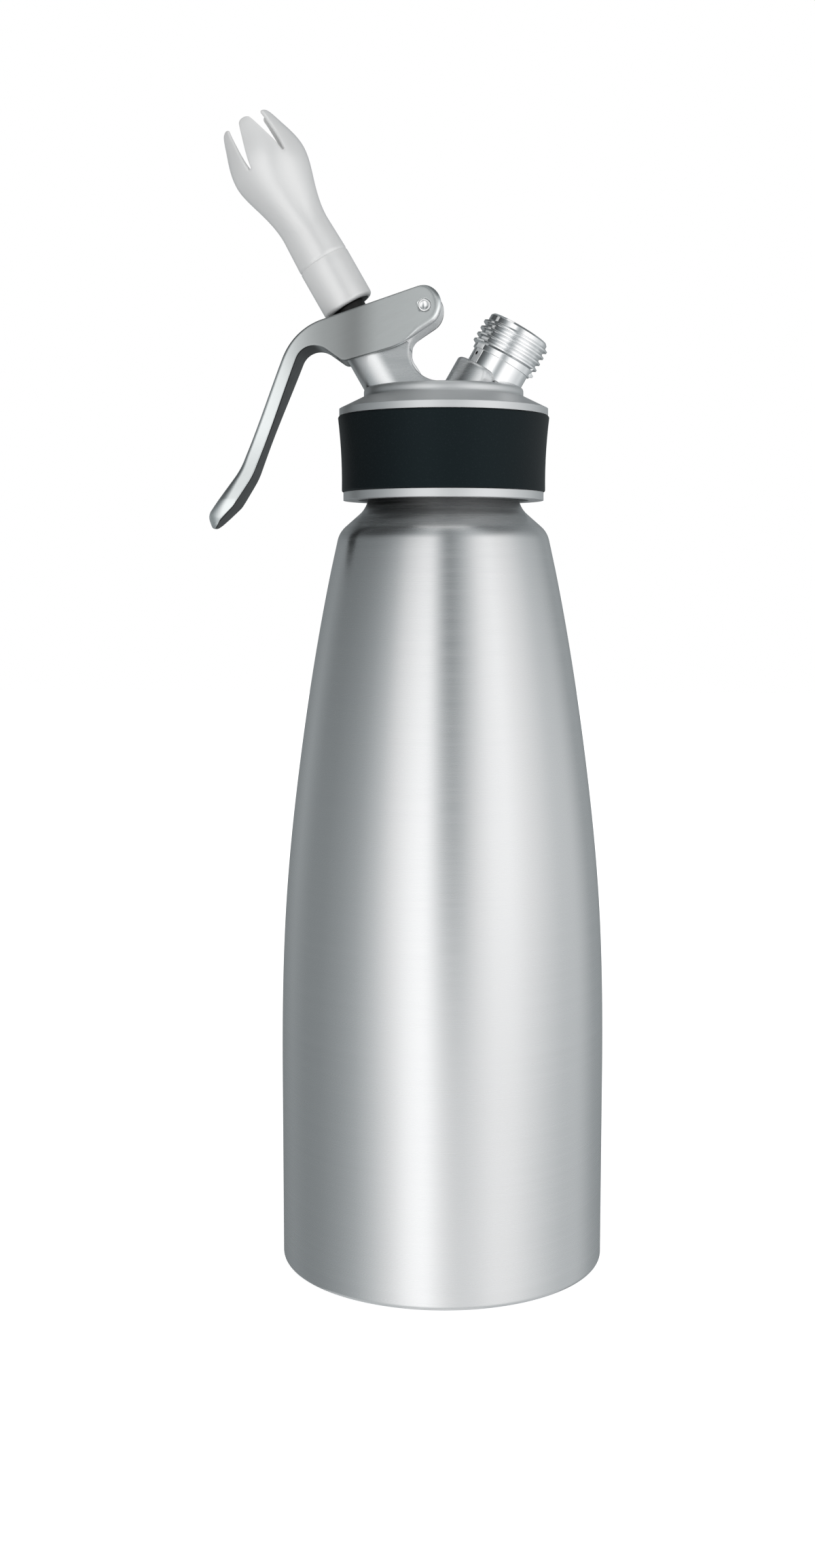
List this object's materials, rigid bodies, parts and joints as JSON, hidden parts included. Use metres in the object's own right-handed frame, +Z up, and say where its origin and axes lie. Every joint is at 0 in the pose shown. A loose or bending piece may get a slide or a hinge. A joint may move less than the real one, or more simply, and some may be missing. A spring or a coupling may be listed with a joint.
{
  "type": "whipped cream dispenser",
  "caption": "Tall steel bottle with a screw-on head, lever-worked valve under a tulip decorating tip, and a threaded gas charging port.",
  "frame": {"origin": "centre of the bottle's foot, on the surface it stands on", "axes": "+Z up along the bottle's axis, the lever and tip reach to -X, the charging port leans to +X"},
  "size_m": [0.1251, 0.1032, 0.3622],
  "materials": {
    "bottle_steel": "fine brushing round the axis",
    "head_steel": "satin, brushed",
    "lever_steel": "satin, lengthwise brushing",
    "port_chrome": "polished",
    "plain_steel": "turned",
    "spring_steel": "drawn wire",
    "black_silicone": "matt, fine grain",
    "red_silicone": "matt",
    "black_plastic": "moulded",
    "tip_plastic": "milky, translucent",
    "needle_brass": "turned"
  },
  "bodies": {
    "bottle": {"bottle": "bottle_steel"},
    "gasket": {"head_gasket": "red_silicone"},
    "head": {"head_body": "head_steel", "silicone_grip": "black_silicone", "lever_pin": "plain_steel", "return_spring": "spring_steel", "charging_port": "port_chrome", "port_o_ring": "black_silicone", "port_washer": "plain_steel", "port_nut": "plain_steel", "needle_carrier": "needle_brass", "piercing_pin": "plain_steel", "charger_seal": "black_silicone", "check_valve_seat": "black_silicone", "check_valve_spring": "spring_steel"},
    "lever": {"lever": "lever_steel"},
    "valve": {"valve_stem": "plain_steel", "stem_seal": "black_silicone", "stem_o_ring": "black_silicone", "spring_cap": "black_plastic"},
    "tip_seal": {"tip_seal": "black_silicone"},
    "tip": {"decorator_tip": "tip_plastic", "tip_insert": "black_plastic"},
    "check_ball": {"check_valve_ball": "plain_steel"}
  },
  "joints": [
    {"name": "head_unscrew", "type": "hinge", "parent": "gasket", "child": "head", "pos_m": [0, 0, 0.2702], "axis": [0, 0, 1], "range_deg": [0, 1044]},
    {"name": "head_lift", "type": "slide", "parent": "bottle", "child": "gasket", "axis": [0, 0, 1], "range_m": [0, 0.0117]},
    {"name": "lever_press", "type": "hinge", "parent": "head", "child": "lever", "pos_m": [-0.0055, 0, 0.302], "axis": [0, -1, 0], "range_deg": [0, 9], "stiffness_Nm_per_rad": 1.2, "springref_deg": -11.46},
    {"name": "valve_stroke", "type": "slide", "parent": "head", "child": "valve", "axis": [0.5, 0, -0.866], "range_m": [0, 0.0033], "deforming": ["return_spring"]},
    {"name": "tip_lift", "type": "slide", "parent": "valve", "child": "tip_seal", "axis": [-0.5, 0, 0.866], "range_m": [0, 0.00525]},
    {"name": "tip_unscrew", "type": "hinge", "parent": "tip_seal", "child": "tip", "pos_m": [-0.03413, 0, 0.31123], "axis": [-0.5, 0, 0.866], "range_deg": [0, 1261]},
    {"name": "check_ball_travel", "type": "slide", "parent": "head", "child": "check_ball", "axis": [-0.5, 0, -0.866], "range_m": [0, 0.001], "stiffness_N_per_m": 100, "springref_m": -0.001, "deforming": ["check_valve_spring"]}
  ],
  "couplings": [
    {"joint": "head_lift", "follows": "head_unscrew", "m_per_rad": 0.00063662},
    {"joint": "valve_stroke", "follows": "lever_press", "m_per_rad": 0.0203},
    {"joint": "tip_unscrew", "follows": "tip_lift", "rad_per_m": 4188.8}
  ]
}
